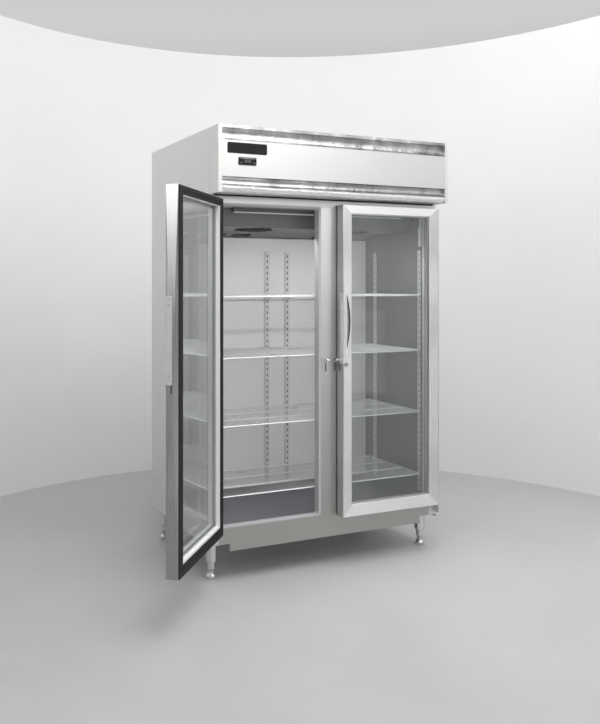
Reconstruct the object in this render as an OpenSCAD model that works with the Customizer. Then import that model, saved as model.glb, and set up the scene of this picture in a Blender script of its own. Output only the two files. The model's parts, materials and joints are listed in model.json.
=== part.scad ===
// Two-section reach-in glass door merchandiser with a top-mounted refrigeration unit.
// Frame: +Z up, +X to the right seen from the front, +Y to the back, millimetres.
// Origin: on the floor, midway across the cabinet, 42 mm in front of the face the doors close on.
// The left door stands open at open_angle, the right door is shut.

/* [Cabinet] */
// Width over the side panels
cab_w = 1321; // [1300:1:1340]
// Plane of the face frame that the doors close on, behind the origin
face_y = 42; // [40:1:44]
// Plane of the back panel
back_y = 867; // [860:1:880]
// Height of the seam between the side panels and the hood sides
body_top = 1822; // [1818:1:1826]
// Height of the lower edge of the side panels
side_bottom = 166; // [160:1:172]
// Height of the lower edge of the kick panel
kick_bottom = 144; // [140:1:150]
// Half the length of the kick panel's deep middle stretch
kick_half = 557; // [540:1:565]
// Distance from the cabinet centre to the inside of each side wall
inner_x = 605; // [604:1:606]
// Plane of the inside back wall
inner_back_y = 612; // [606:1:618]
// Height of the inside floor
floor_z = 256; // [254:1:258]
// Height of the inside ceiling
ceiling_z = 1792; // [1791:1:1794]

/* [Hood] */
// Overall height
total_h = 2155; // [2140:1:2170]
// Height of the hood's lower front edge
hood_bottom = 1842; // [1840:1:1846]
// Reach of the hood in front of the origin
hood_reach = 57; // [50:1:60]
// Depth of the two polished coves in the hood front
cove_depth = 18; // [10:1:22]

/* [Doors] */
// Half of the gap between the two closed doors
half_gap = 38.6; // [38:0.2:40]
// Width of each door
door_w = 590.8; // [588:0.2:592]
// Height of the doors' lower edge
door_z = 247; // [245:1:249]
// Height of each door
door_h = 1567; // [1560:1:1570]
// Thickness of the metal door frame
door_t = 56; // [54:1:56]
// Width of the stile at the handle side
stile_free = 50.4; // [46:0.2:54]
// Width of the stile at the hinge side
stile_hinge = 62.2; // [58:0.2:66]
// Height of the top rail
rail_top = 44.6; // [42:0.2:48]
// Height of the bottom rail
rail_bottom = 63.8; // [60:0.2:66]
// Angle that the left door stands open at
open_angle = 131.4; // [0:0.1:134]

/* [Shelves] */
// Heights of the shelf tops, lowest first
shelf_tops = [397, 733.5, 1063, 1359.5];
// Front and back of the shelves
shelf_front = 86; // [84:1:90]
// Plane of the rearmost shelf bar
shelf_rear = 568; // [540:1:590]
// Spacing of the shelf wires
wire_pitch = 18.6; // [15:0.1:26]
// Spacing of the slots in the shelf pilasters
slot_pitch = 32; // [26:1:40]

/* [Legs] */
// Distance of the legs from the cabinet centre
leg_x = 619; // [612:1:624]
// Position of the front pair of legs
leg_front_y = 124; // [110:1:140]
// Position of the rear pair of legs
leg_rear_y = 780; // [760:1:800]

/* [Hidden] */
$fn = 48;

side_x = cab_w / 2;
sheet = 1.5;          // thickness of the stainless sheet
skin = 1.2;           // thickness of the liner sheet
seam = 0.3;           // gap left between neighbouring panels
liner_y = 794;        // rear of the liner, behind the air duct
sub_floor = 196;      // top of the steel deck under the foam
deck_z = 1852;        // top of the insulated box, hidden inside the hood
hood_y = -hood_reach;
hood_half = 642;      // half the length of the hood's front parts, between its sides
cove_low = [1873, 1915];   // heights of the lower polished cove
cove_high = [2085, 2141];  // heights of the upper polished cove
trim_fold = 40;       // depth of the fold at the top of the upper trim
throat = 40;          // depth of the breaker lining behind the face
mullion_d = 30;       // depth of the centre mullion behind the face
header_z = 1797;      // seam between the mullion and the header

// Clear opening of each section
open_x0 = 66.5;
open_x1 = 602;
open_z0 = 262;
open_z1 = 1790;
trim_w = 12;

// Doors
door_y = face_y - 6 - door_t;      // front of the metal door frame
door_x1 = half_gap + door_w;       // hinge edge
pivot = [640.8, 5.1];              // hinge axis of the right door, mirrored for the left
hinge_z = [430, 1608];             // middles of the lower and upper hinge
hinge_h = 178;
lock_z = 1013;
lock_x = 16;                       // lock axis, in from the free edge
plate_z = [1017, 1371];            // ends of the handle's edge plate
plate_screws = [1037, 1054, 1335, 1360];
scoop_z = [1060, 1396];            // ends of the crescent pull
pane_y = [door_y + 3, door_y + 29]; // front of each pane
pane_t = 4;
seal_w = [44, 42, 48, 38.4];       // gasket's reach in from the free, hinge, lower and upper edge
reveal_in = 4;                     // lap of the stiles and rails over the reveal

// Refrigeration
coil_x = 210;             // half the length of the condenser
fan_z = deck_z + 144;     // axis of the condenser fan
evap_fan_x = 300;
evap_fan_y = 300;
evap_z = 1700;            // underside of the evaporator housing

shelf_x0 = 10;
shelf_x1 = 594;
bar_r = 3.2;
wire_r = 1.5;
weld = 0.5;            // depth that the shelf wires sink into the bars
clip_h = 9;

// ---------- small helpers ----------

module box(x, y, z) {
    translate([x[0], y[0], z[0]]) cube([x[1] - x[0], y[1] - y[0], z[1] - z[0]]);
}

module both_sides() {
    children();
    mirror([1, 0, 0]) children();
}

// Rounded rectangle in the XZ plane, made solid from y[0] to y[1]
module round_plate(x, z, r, y) {
    translate([0, y[1], 0]) rotate([90, 0, 0]) linear_extrude(y[1] - y[0]) round_rect(x, z, r);
}

module round_rect(x, z, r) {
    translate([x[0] + r, z[0]]) square([x[1] - x[0] - 2 * r, z[1] - z[0]]);
    translate([x[0], z[0] + r]) square([x[1] - x[0], z[1] - z[0] - 2 * r]);
    for (cx = [x[0] + r, x[1] - r], cz = [z[0] + r, z[1] - r]) translate([cx, cz]) circle(r);
}

// Rod of radius r between two points
module rod(a, b, r) {
    d = b - a;
    translate(a) rotate([0, acos(d[2] / norm(d)), atan2(d[1], d[0])]) cylinder(r = r, h = norm(d));
}

// Round pipe through a list of points, with brazed ball elbows
module pipe(points, r) {
    for (i = [0 : len(points) - 2]) rod(points[i], points[i + 1], r);
    for (i = [1 : len(points) - 2]) translate(points[i]) sphere(r * 1.12);
}

module y_cylinder(x, z, r, y) {
    translate([x, y[1], z]) rotate([90, 0, 0]) cylinder(r = r, h = y[1] - y[0]);
}

// ---------- insulated cabinet ----------

module side_panel() {
    z = [side_bottom, body_top - seam];
    difference() {
        box([side_x - sheet, side_x], [face_y, back_y], z);
        // vertical bead pressed in behind the front edge
        box([side_x - 0.5, side_x + 1], [face_y + 26, face_y + 28], [z[0] - 1, z[1] + 1]);
    }
}

module side_panel_left() { color("#c4c4c0") mirror([1, 0, 0]) side_panel(); }

module side_panel_right() { color("#c4c4c0") side_panel(); }

module back_panel() {
    color("#b9bab7") difference() {
        box([-side_x + sheet + seam, side_x - sheet - seam], [back_y - sheet, back_y],
            [side_bottom, deck_z]);
        for (x = [-440, 0, 440]) box([x - 3, x + 3], [back_y - 0.6, back_y + 1], [260, deck_z - 90]);
    }
}

module base_frame() {
    x = side_x - sheet - seam;
    color("#a9aaa6") {
        box([-x, x], [face_y + sheet + seam, back_y - sheet - seam], [sub_floor - 2, sub_floor]);
        both_sides() for (inner = [575, x - 3])
            box([inner, inner + 3], [face_y + 40, back_y - 40], [side_bottom + 2, sub_floor - 2]);
        both_sides() box([575, x], [face_y + 40, back_y - 40], [side_bottom + 2, side_bottom + 5]);
    }
}

module top_deck() {
    x = side_x - sheet - seam;
    color("#b4b5b2") difference() {
        box([-x, x], [face_y + sheet + seam, back_y - sheet - seam], [deck_z - sheet, deck_z]);
        translate([0, 700, deck_z - 5]) cylinder(r = 22, h = 10);
    }
}

module foam_core() {
    x = side_x - sheet - seam;
    y0 = face_y + sheet + seam;
    y1 = back_y - sheet - seam;
    z1 = deck_z - sheet - seam;
    liner_x = inner_x + skin + seam;
    color("#e8dcae") {
        both_sides() box([liner_x, x], [y0, y1], [sub_floor + seam, z1]);
        box([-liner_x + seam, liner_x - seam], [liner_y + seam, y1], [sub_floor + seam, z1]);
        box([-liner_x + seam, liner_x - seam], [y0, liner_y], [sub_floor + seam, floor_z - skin - seam]);
        difference() {
            box([-liner_x + seam, liner_x - seam], [y0, liner_y], [ceiling_z + skin + seam, z1]);
            translate([0, 700, ceiling_z]) cylinder(r = 22, h = 90);
        }
    }
}

module liner() {
    x = inner_x + skin;
    y0 = face_y + sheet + seam;
    y1 = liner_y;
    color("#b6b8b8") {
        both_sides() box([inner_x, x], [y0, y1 - skin - seam], [floor_z + seam, ceiling_z - seam]);
        box([-x, x], [y0, y1], [floor_z - skin, floor_z]);
        difference() {
            box([-x, x], [y0, y1], [ceiling_z, ceiling_z + skin]);
            translate([0, 700, ceiling_z - 1]) cylinder(r = 22, h = 5);
        }
        box([-inner_x + seam, inner_x - seam], [y1 - skin, y1], [floor_z + seam, ceiling_z - seam]);
        duct_panel();
    }
}

// False back wall that leaves the return air duct behind it
module duct_panel() {
    z = [floor_z + 26, 1672];
    box([-inner_x + seam, inner_x - seam], [inner_back_y, inner_back_y + skin], z);
    // stand-off ribs between the false wall and the rear liner
    for (x = [-302, 302]) box([x - 8, x + 8], [inner_back_y + skin + seam, 790], [z[0], z[1] - 20]);
}

// ---------- front of the cabinet ----------

module face_frame() {
    x = side_x - sheet - seam;
    y = [face_y, face_y + sheet];
    lip = trim_w + seam;
    color("#e2e2e2") {
        box([-x, x], y, [open_z1 + lip, hood_bottom + 8]);
        box([-54, 54], y, [header_z, open_z1 + lip]);
        both_sides() {
            box([open_x1 + lip, x], y, [180, open_z1 + lip - seam]);
            // raised outer edge that carries the hinges
            box([651, x], [10, face_y - seam], [sub_floor, body_top - 6]);
        }
    }
}

module centre_mullion() {
    x = open_x0 - 2.4;
    color("#a5a6a4") difference() {
        union() {
            box([-54, 54], [face_y, face_y + sheet], [open_z0 - 6, header_z - seam]);
            box([-x, x], [face_y + sheet, face_y + mullion_d], [floor_z + seam, ceiling_z - seam]);
        }
        box([-x + 2, x - 2], [face_y + 4, face_y + mullion_d - 2], [floor_z - 1, ceiling_z + 1]);
    }
}

module breaker_strips() {
    color("#dadbd8") both_sides() difference() {
        union() {
            round_plate([open_x0 - trim_w, open_x1 + trim_w], [open_z0 - trim_w + 6, open_z1 + trim_w],
                16, [face_y, face_y + sheet]);
            round_plate([open_x0 - 2, open_x1 + 2], [open_z0 - 2, open_z1 + 1.8],
                12, [face_y, face_y + throat]);
        }
        round_plate([open_x0, open_x1], [open_z0, open_z1], 12, [face_y - 5, face_y + throat + 5]);
    }
}

module kick_panel() {
    top = open_z0 - trim_w + 6 - seam;
    color("#a3a49c") {
        box([-kick_half, kick_half], [face_y, face_y + sheet], [kick_bottom, 180]);
        box([-open_x1 - trim_w, open_x1 + trim_w], [face_y, face_y + sheet], [180, top]);
        box([-kick_half, kick_half], [face_y, face_y + 28], [kick_bottom, kick_bottom + sheet]);
        both_sides() box([kick_half - sheet, kick_half], [face_y, face_y + 28], [kick_bottom, 180]);
        both_sides() box([kick_half - 90, kick_half - 60], [face_y, face_y + 38], [170, 180]);
    }
}

// ---------- hood ----------

// Depth of a circular cove of height h and depth cove_depth at fraction t of its height
function cove(t, h) =
    let (r = (h * h / 4 + cove_depth * cove_depth) / (2 * cove_depth), c = (t - 0.5) * h)
    sqrt(r * r - c * c) - (r - cove_depth);

// Sheet that follows a profile of [y, z] points, extruded over the hood's width
module formed_sheet(profile, half) {
    back = [for (i = [len(profile) - 1 : -1 : 0]) profile[i] + [sheet, 0]];
    translate([-half, 0, 0]) rotate([90, 0, 90]) linear_extrude(2 * half) polygon(concat(profile, back));
}

module hood_side() {
    x = side_x - sheet;
    color("#c4c4c0") {
        difference() {
            union() {
                box([x, side_x], [face_y, back_y], [body_top, total_h]);
                box([x, side_x], [hood_y, face_y], [hood_bottom, total_h]);
            }
            box([side_x - 0.5, side_x + 1], [face_y + 1, face_y + 3], [hood_bottom, total_h + 1]);
        }
        // front flange, top flange and rear flange
        box([hood_half + 0.5, x], [hood_y, hood_y + sheet], [hood_bottom, total_h]);
        box([hood_half + 0.5, hood_half + 0.5 + sheet], [hood_y + sheet, hood_y + 24],
            [hood_bottom, total_h]);
        box([side_x - 24, x], [hood_y + trim_fold + seam, back_y], [total_h - sheet, total_h]);
        box([side_x - 24, x], [back_y - sheet, back_y], [deck_z + seam, total_h - sheet]);
    }
}

module hood_side_left() { mirror([1, 0, 0]) hood_side(); }

module hood_side_right() { hood_side(); }

module hood_rails() {
    color("#b9bab7") {
        // rear top rail, and the fold under the hood front
        box([-636, 636], [back_y - 30, back_y], [total_h - sheet, total_h]);
        box([-636, 636], [back_y - sheet, back_y], [total_h - 46, total_h - sheet]);
        box([-hood_half, hood_half], [hood_y + 25, face_y - seam], [hood_bottom, hood_bottom + sheet]);
    }
}

module hood_front_panel() {
    z = [cove_low[1] + seam, cove_high[0] - seam];
    color("#e6e6e6") {
        difference() {
            box([-hood_half, hood_half], [hood_y + 1, hood_y + 1 + sheet], z);
            box([-550 - seam, -474 + seam], [hood_y, hood_y + 5], [1977 - seam, 2001 + seam]);
        }
        for (fold = [z[0], z[1] - sheet])
            box([-hood_half, hood_half], [hood_y + 1, hood_y + 22], [fold, fold + sheet]);
    }
}

module hood_trims() {
    steps = 14;
    upper_h = cove_high[1] - cove_high[0];
    lower_h = cove_low[1] - cove_low[0];
    lip_z = cove_low[0] - 8;
    lip_r = lip_z - hood_bottom;
    color("#dcdcdc") {
        formed_sheet(concat(
            [for (i = [0 : steps]) [hood_y + cove(i / steps, upper_h), cove_high[0] + upper_h * i / steps]],
            [[hood_y, total_h]]), hood_half);
        box([-hood_half, hood_half], [hood_y + sheet, hood_y + trim_fold], [total_h - sheet, total_h]);
        formed_sheet(concat(
            [for (i = [0 : steps]) let (a = 90 - 90 * i / steps)
                [hood_y + lip_r * (1 - cos(a)), lip_z - lip_r * sin(a)]],
            [for (i = [0 : steps]) [hood_y + cove(i / steps, lower_h), cove_low[0] + lower_h * i / steps]]),
            hood_half);
    }
}

module badge_plate() {
    color("#101010") round_plate([-614, -410], [2024, 2074], 6, [hood_y - 2, hood_y + 1]);
}

module controller_body() {
    color("#151515") difference() {
        union() {
            round_plate([-557, -467], [1971, 2007], 4, [hood_y - 4, hood_y + 1]);
            box([-552, -472], [hood_y + 2.5, hood_y + 44], [1975, 2003]);
            box([-550, -474], [hood_y, hood_y + 3], [1977, 2001]);
        }
        for (x = [-546, -478]) y_cylinder(x, 1981, 3.3, [hood_y - 6, hood_y]);
    }
}

module controller_button(x) {
    color("#3a3c3d") y_cylinder(x, 1981, 3, [hood_y - 5, hood_y - 1]);
}

module controller_button_left() { controller_button(-546); }

module controller_button_right() { controller_button(-478); }

// ---------- condensing unit in the hood ----------

module unit_base() {
    color("#8f9294") {
        difference() {
            box([-300, 300], [210, 720], [deck_z + 8, deck_z + 11]);
            // pipe notch above the deck's grommet
            box([-30, 30], [670, 716], [deck_z, deck_z + 20]);
        }
        for (y = [210, 720 - 3]) box([-300, 300], [y, y + 3], [deck_z + 11, deck_z + 30]);
        for (x = [-240, 240], y = [260, 670]) translate([x, y, deck_z]) cylinder(r = 14, h = 8);
    }
}

module compressor() {
    z0 = deck_z + 11;
    translate([-130, 590, z0]) color("#1b1c1d") {
        difference() {
            union() {
                for (a = [0 : 90 : 270]) rotate([0, 0, a + 45]) box([0, 112], [-14, 14], [10, 13]);
                translate([0, 0, 10]) rotate_extrude() polygon(concat(
                    [[0, 0]],
                    [for (i = [0 : 8]) let (a = -90 + i * 90 / 8) [60 + 26 * cos(a), 30 + 26 * sin(a)]],
                    [for (i = [0 : 8]) let (a = i * 90 / 8) [46 + 40 * cos(a), 150 + 40 * sin(a)]],
                    [[0, 190]]));
            }
            for (a = [0 : 90 : 270]) rotate([0, 0, a + 45]) translate([98, 0, 5]) cylinder(r = 5, h = 12);
        }
        for (a = [0 : 90 : 270]) rotate([0, 0, a + 45]) translate([98, 0, 0]) cylinder(r = 11, h = 9.8);
        translate([84, -22, 90]) cube([26, 44, 56]);
        // discharge stub
        translate([30, -60, 180]) cylinder(r = 7, h = 26);
    }
}

module condenser_coil() {
    z = [deck_z + 12, deck_z + 276];
    y = [236, 288];
    color("#9a7b5c") {
        box([-coil_x, coil_x], y, z);
        both_sides() {
            box([coil_x, coil_x + 2], [y[0] - 6, y[1] + 6], z);
            for (i = [0 : 5]) translate([coil_x + 2, 250, z[0] + 30 + 40 * i])
                rotate(240, [1, 1, 1]) rotate_extrude(angle = 180) translate([12, 0]) circle(4.5);
        }
    }
}

module condenser_shroud() {
    y = [295, 350];
    z = [deck_z + 12, deck_z + 276];
    color("#2a2b2c") difference() {
        box([-coil_x, coil_x], y, z);
        box([-coil_x + 2, coil_x - 2], [y[0] - 1, y[1] - 14], [z[0] + 2, z[1] - 2]);
        y_cylinder(0, fan_z, 120, [y[0] - 2, y[1] + 2]);
    }
}

module condenser_fan_motor() {
    z = fan_z;
    color("#4b4d4f") {
        difference() {
            y_cylinder(0, z, 44, [385, 470]);
            y_cylinder(0, z, 5.05, [380, 412]);
        }
        box([-30, 30], [400, 460], [deck_z + 11, z - 40]);
    }
}

module blade(length, width, pitch) {
    rotate([pitch, 0, 0]) linear_extrude(1.6) hull() {
        translate([12, 0]) circle(7, $fn = 24);
        translate([length - width, 0]) circle(width, $fn = 32);
    }
}

module condenser_fan_blade() {
    color("#303234") translate([0, 352, fan_z]) rotate([90, 0, 0]) {
        translate([0, 0, -14]) cylinder(r = 20, h = 24);
        translate([0, 0, -58]) cylinder(r = 5, h = 46);
        for (i = [0 : 4]) rotate([0, 0, 72 * i]) translate([6, 0, -2]) blade(104, 34, 24);
    }
}

module refrigerant_lines() {
    // discharge stub on the compressor
    stub = [-100, 530];
    top = deck_z + 262;
    in_housing = ceiling_z - 20;
    color("#b4713c") {
        // discharge line to the condenser
        pipe([[stub[0], stub[1], deck_z + 217.2], [stub[0], stub[1], top], [240, stub[1], top],
            [240, 300, top], [240, 262, top], [213, 262, top]], 4.5);
        // liquid line, drier and capillary down to the evaporator
        pipe([[213, 262, deck_z + 22], [262, 262, deck_z + 22], [262, 560, deck_z + 40],
            [262, 640, deck_z + 60]], 4.5);
        translate([262, 560, deck_z + 40]) rotate([-76, 0, 0]) cylinder(r = 11, h = 60);
        pipe([[262, 640, deck_z + 60], [262, 690, deck_z + 60], [10, 695, deck_z + 60],
            [10, 695, in_housing], [10, 491, in_housing]], 3);
        // suction line from the evaporator to the compressor
        pipe([[-8, 491, in_housing - 20], [-8, 705, in_housing - 20], [-8, 705, deck_z + 190],
            [-70, 705, deck_z + 190], [-130, 690, deck_z + 120], [-130, 677, deck_z + 120]], 8);
    }
}

module control_box() {
    color("#9fa2a4") difference() {
        union() {
            box([360, 590], [560, 800], [deck_z + 6, deck_z + 134]);
            box([356, 594], [556, 804], [deck_z + 134, deck_z + 137]);
            for (y = [600, 760]) box([344, 606], [y - 12, y + 12], [deck_z, deck_z + 6]);
            box([440, 510], [800, back_y - 4], [deck_z + 20, deck_z + 90]);
        }
        y_cylinder(475, deck_z + 55, 11.1, [back_y - 30, back_y + 1]);
    }
}

// ---------- inside the cabinet ----------

module evaporator_housing() {
    half = 585;
    // section: front fall, flat bottom with the fans, then a slope down to the back wall
    outer = [[150, ceiling_z - seam], [178, evap_z], [470, evap_z],
        [600, 1676], [610, 1676], [610, ceiling_z - seam]];
    inner = [[151.6, ceiling_z], [179.4, evap_z + 1.4], [470.4, evap_z + 1.4], [600.2, 1677.4],
        [608.4, 1677.4], [608.4, ceiling_z]];
    color("#6e7173") difference() {
        translate([-half, 0, 0]) rotate([90, 0, 90]) linear_extrude(2 * half) polygon(outer);
        translate([-half + 1.4, 0, 0]) rotate([90, 0, 90]) linear_extrude(2 * half - 2.8) polygon(inner);
        for (s = [-1, 1]) translate([s * evap_fan_x, evap_fan_y, evap_z - 2]) cylinder(r = 92, h = 8);
        box([-30, 30], [600, 615], [ceiling_z - 52, ceiling_z]);
        // air chutes at the back of the slope
        for (s = [-1, 1], k = [0, 1]) let (x = s * 330 - 130 + 150 * k)
            box([x, x + 110], [500, 590], [1660, 1690]);
    }
}

module evaporator_coil() {
    z = [1704, 1788];
    y = [400, 490];
    color("#c9ccce") {
        box([-520, 520], y, z);
        both_sides() {
            box([520, 522], [y[0] - 4, y[1] + 4], z);
            for (bend_y = [422, 468], i = [0, 1]) translate([522, bend_y, z[0] + 22 + 38 * i])
                rotate(240, [1, 1, 1]) rotate_extrude(angle = 180) translate([9, 0]) circle(4.5);
        }
    }
}

module evaporator_fan_mounts() {
    color("#3a3c3d") for (s = [-1, 1]) translate([s * evap_fan_x, evap_fan_y, 0]) {
        difference() {
            translate([0, 0, 1738]) cylinder(r = 34, h = 46);
            translate([0, 0, 1730]) cylinder(r = 4.05, h = 26);
        }
        translate([0, 0, 1784]) cylinder(r = 20, h = 7);
        // wire guard under the fan opening
        for (r = [30, 52, 74, 95]) translate([0, 0, evap_z - 6])
            rotate_extrude() translate([r, 0]) circle(1.5);
        for (a = [0, 60, 120]) rotate([0, 0, a]) rod([-95, 0, evap_z - 3.4], [95, 0, evap_z - 3.4], 1.5);
        for (a = [30 : 120 : 270]) rotate([0, 0, a]) box([88, 100], [-5, 5], [evap_z - 5, evap_z - 1]);
    }
}

module evaporator_fan(s) {
    color("#26282a") translate([s * evap_fan_x, evap_fan_y, 1712]) {
        cylinder(r = 18, h = 20);
        translate([0, 0, 20]) cylinder(r = 4, h = 22);
        for (i = [0 : 4]) rotate([0, 0, 72 * i]) translate([6, 0, 9]) blade(78, 24, 20);
    }
}

module evaporator_fan_left() { evaporator_fan(-1); }

module evaporator_fan_right() { evaporator_fan(1); }

module light_strips() {
    color("#f4f5f6") both_sides() {
        box([44, 500], [118, 142], [1771, ceiling_z - seam]);
        box([48, 496], [122, 138], [1766, 1771]);
        // driver cover with its conduit beside the front pilaster
        box([594, inner_x - seam], [85, 103], [1618, 1722]);
        box([599, inner_x - seam], [90, 98], [1722, ceiling_z - seam]);
    }
}

module pilaster(h) {
    w = 26;
    n = floor((h - 40) / slot_pitch);
    rotate([90, 0, 0]) translate([0, 0, 6.8]) linear_extrude(1.2) difference() {
        translate([-w / 2, 0]) square([w, h]);
        for (i = [0 : n]) translate([-3.2, 18 + slot_pitch * i]) square([6.4, 14]);
    }
    for (s = [-1, 1]) box([s * (w / 2 - 0.6) - 0.6, s * (w / 2 - 0.6) + 0.6], [-6.8, -seam], [0, h]);
}

module pilasters() {
    z0 = 300;
    h = 1297;
    color("#8d8f8f") both_sides() {
        translate([64, inner_back_y, z0]) pilaster(h);
        translate([46, face_y + mullion_d, z0]) rotate([0, 0, 180]) pilaster(h);
        for (y = [100, 511]) translate([inner_x, y, z0]) rotate([0, 0, -90]) pilaster(h);
    }
}

// Small brackets 0.2 mm below each shelf: under its outer wires at the side, under its bars in the middle
module shelf_clips() {
    color("#d5d7d8") for (top = shelf_tops) both_sides() {
        under_wire = top - 2 * wire_r - 0.2;
        under_bar = under_wire - 2 * bar_r + weld;
        for (y = [100, 511]) box([585, 596.8], [y - 8, y + 8], [under_wire - clip_h, under_wire]);
        box([56, 72], [inner_back_y - 50, inner_back_y - 8.2], [under_bar - clip_h, under_bar]);
        box([38, 54], [face_y + mullion_d + 8.2, face_y + mullion_d + 24], [under_bar - clip_h, under_bar]);
    }
}

// Wire shelf: four bars across, wires from front to back on top
module shelf(level, side) {
    top = shelf_tops[level - 1];
    bar_z = top - 2 * wire_r - bar_r + weld;
    n = floor((shelf_x1 - shelf_x0 - 2 * wire_r) / wire_pitch);
    step = (shelf_x1 - shelf_x0 - 2 * wire_r) / n;
    span = shelf_rear - shelf_front;
    color("#dfe1e2") scale_side(side) {
        for (y = [shelf_front, shelf_front + span / 3, shelf_front + span * 2 / 3, shelf_rear])
            rod([shelf_x0, y, bar_z], [shelf_x1, y, bar_z], bar_r);
        for (i = [0 : n]) let (x = shelf_x0 + wire_r + step * i)
            rod([x, shelf_front, top - wire_r], [x, shelf_rear, top - wire_r], wire_r);
    }
}

module scale_side(side) {
    if (side < 0) mirror([1, 0, 0]) children();
    else children();
}

module strikes() {
    z = [962, 1044];
    color("#c9cbcc") both_sides() {
        difference() {
            box([18, 36.2], [face_y - 2.2, face_y - 0.1], z);
            box([23, 31], [face_y - 3, face_y + 1], [z[0] + 12, z[0] + 58]);
        }
        box([18, 36.2], [16, face_y - 2.2], [z[1] - 16, z[1] - 13]);
        translate([18, 16, z[1] - 9.5]) rotate([0, 90, 0]) cylinder(r = 6.5, h = 18.2);
    }
}

// ---------- hinges ----------

module cabinet_hinges() {
    third = hinge_h / 3;
    color("#c4c6c8") both_sides() for (zc = hinge_z) {
        translate([pivot[0], pivot[1], zc - hinge_h / 2]) cylinder(r = 3.5, h = hinge_h);
        for (z = [zc - hinge_h / 2, zc + third / 2 + 0.5]) {
            translate([pivot[0], pivot[1], z]) cylinder(r = 7.5, h = third - 0.5);
            box([pivot[0], 652], [pivot[1] + 0.5, pivot[1] + 3], [z, z + third - 0.5]);
            box([648, 656], [6, 9.8], [z, z + third - 0.5]);
        }
    }
}

module door_hinges() {
    third = hinge_h / 3;
    color("#c4c6c8") for (zc = hinge_z) difference() {
        union() {
            translate([pivot[0], pivot[1], zc - third / 2 + 0.5]) cylinder(r = 7.5, h = third - 1);
            box([door_x1 + 0.2, pivot[0]], [pivot[1] - 3, pivot[1] + 3],
                [zc - third / 2 + 0.5, zc + third / 2 - 0.5]);
            box([door_x1 + 0.2, door_x1 + 2.7], [door_y + 16, face_y - 10],
                [zc - hinge_h / 2, zc + hinge_h / 2]);
        }
        translate([pivot[0], pivot[1], zc - hinge_h]) cylinder(r = 3.55, h = 2 * hinge_h);
        translate([pivot[0], pivot[1], zc - hinge_h]) cylinder(r = 8, h = hinge_h - third / 2);
        translate([pivot[0], pivot[1], zc + third / 2]) cylinder(r = 8, h = hinge_h);
    }
}

// ---------- doors, drawn shut on the right-hand side ----------

// Channel section of a stile or rail of width w: u across the face, v back from the front
function channel(w) = [
    [0, 3], [3, 0], [w - 2, 0], [w, 2], [w, 2.6], [w - 6, 2.6], [w - 6, door_t], [w - 8.4, door_t],
    [w - 8.4, 2.6], [3.4, 2.6], [2.4, 3.6], [2.4, door_t], [0, door_t]
];

// Outlines of the four mitred members in the XZ plane, from the door's lower free corner
function member(i, g) =
    let (a = stile_free, b = door_w - stile_hinge, c = rail_bottom, d = door_h - rail_top)
    [
        [[0, 0], [a, c], [a, d], [0, door_h]],
        [[door_w, 0], [door_w, door_h], [b, d], [b, c]],
        [[g, 0], [door_w - g, 0], [b - g, c], [a + g, c]],
        [[a + g, d], [b - g, d], [door_w - g, door_h], [g, door_h]]
    ][i];

module member_space(i) {
    translate([half_gap, door_y + door_t + 10, door_z]) rotate([90, 0, 0])
        linear_extrude(door_t + 20) polygon(member(i, seam));
}

module door_member(i) {
    w = [stile_free, stile_hinge, rail_bottom, rail_top][i];
    intersection() {
        member_space(i);
        if (i == 0) translate([half_gap, door_y, door_z]) linear_extrude(door_h) polygon(channel(w));
        else if (i == 1) translate([door_x1, door_y, door_z]) mirror([1, 0, 0])
            linear_extrude(door_h) polygon(channel(w));
        else if (i == 2) translate([half_gap, door_y, door_z])
            multmatrix([[0, 0, 1, 0], [0, 1, 0, 0], [1, 0, 0, 0]]) linear_extrude(door_w) polygon(channel(w));
        else translate([half_gap, door_y, door_z + door_h])
            multmatrix([[0, 0, 1, 0], [0, 1, 0, 0], [-1, 0, 0, 0]]) linear_extrude(door_w) polygon(channel(w));
    }
}

// Crescent of the pull, in the XZ plane: a straight chord and a round outer edge
module crescent(grow) {
    zc = (scoop_z[0] + scoop_z[1]) / 2;
    half = (scoop_z[1] - scoop_z[0]) / 2;
    bulge = 33;
    r = (half * half + bulge * bulge) / (2 * bulge);
    x0 = half_gap + 14;
    intersection() {
        translate([x0 + bulge - r, zc]) circle(r + grow, $fn = 180);
        translate([x0 - grow, scoop_z[0] - 10]) square([80, scoop_z[1] - scoop_z[0] + 20]);
    }
}

module crescent_solid(grow, y) {
    translate([0, y[1], 0]) rotate([90, 0, 0]) linear_extrude(y[1] - y[0]) crescent(grow);
}

module door_frame() {
    color("#dedede") {
        difference() {
            door_member(0);
            crescent_solid(-1.5, [door_y - 5, door_y + 18]);
            y_cylinder(half_gap + lock_x, lock_z, 9.05, [door_y - 5, door_y + 8]);
            // slot that the lock's cam swings out through
            box([half_gap - 1, half_gap + 5], [door_y + 23, door_y + 28], [lock_z - 29, lock_z + 6]);
        }
        for (i = [1 : 3]) door_member(i);
        inner_frame();
    }
}

// Cup of the pull: a rim on the stile, a floor that falls away to the round edge, and the edge plate
module door_handle() {
    y = door_y;
    x = half_gap + 14;
    color("#cfd1d2") {
        difference() {
            union() {
                crescent_solid(-1.6, [y, y + 2.6]);
                crescent_solid(-3.2, [y, y + 17]);
            }
            difference() {
                crescent_solid(-5, [y - 1, y + 15.4]);
                // sloping floor
                translate([x - 4, y, scoop_z[0] - 20]) linear_extrude(scoop_z[1] - scoop_z[0] + 40)
                    polygon([[0, 0.4], [38, 15.4], [38, 30], [0, 30]]);
            }
        }
        edge_plate();
    }
}

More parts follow.
